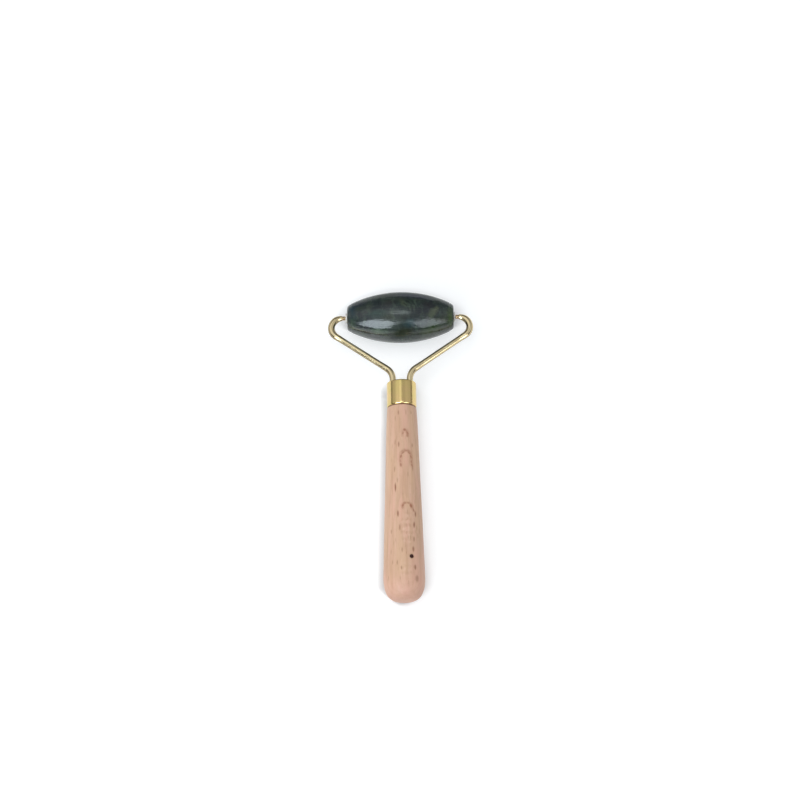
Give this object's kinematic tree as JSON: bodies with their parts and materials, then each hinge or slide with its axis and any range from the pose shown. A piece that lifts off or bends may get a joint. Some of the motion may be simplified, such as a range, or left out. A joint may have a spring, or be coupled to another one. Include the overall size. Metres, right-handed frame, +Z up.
{
  "type": "face roller",
  "caption": "Hand-held face roller: a barrel of polished green stone spins in a bent-wire brass fork on a ferrule and a tapered beech handle.",
  "frame": {"origin": "middle of the underside of the whole object's box, with the object lying on a table: the stone's crown and the fullest part of the handle's butt touch z = 0", "axes": "+X along the roller's axle, +Y along the handle towards the roller head, +Z up off the table"},
  "size_m": [0.0586, 0.129, 0.0207],
  "materials": {
    "beech": "satin",
    "polished_brass": "polished",
    "wire_brass": "polished",
    "plain_brass": "satin",
    "steel": "satin",
    "nylon": "satin",
    "jade": "polished"
  },
  "bodies": {
    "handle_fork": {"wooden_handle": "beech", "ferrule": "polished_brass", "fork_socket": "plain_brass", "hanger_stud": "steel", "left_fork_arm": "wire_brass", "right_fork_arm": "wire_brass", "left_axle_pin": "wire_brass", "right_axle_pin": "wire_brass"},
    "roller": {"jade_roller": "jade", "left_bush": "nylon", "right_bush": "nylon"}
  },
  "joints": [
    {"name": "roller_spin", "type": "hinge", "parent": "handle_fork", "child": "roller", "pos_m": [0, 0.05411, 0.01035], "axis": [1, 0, 0], "continuous": true}
  ]
}
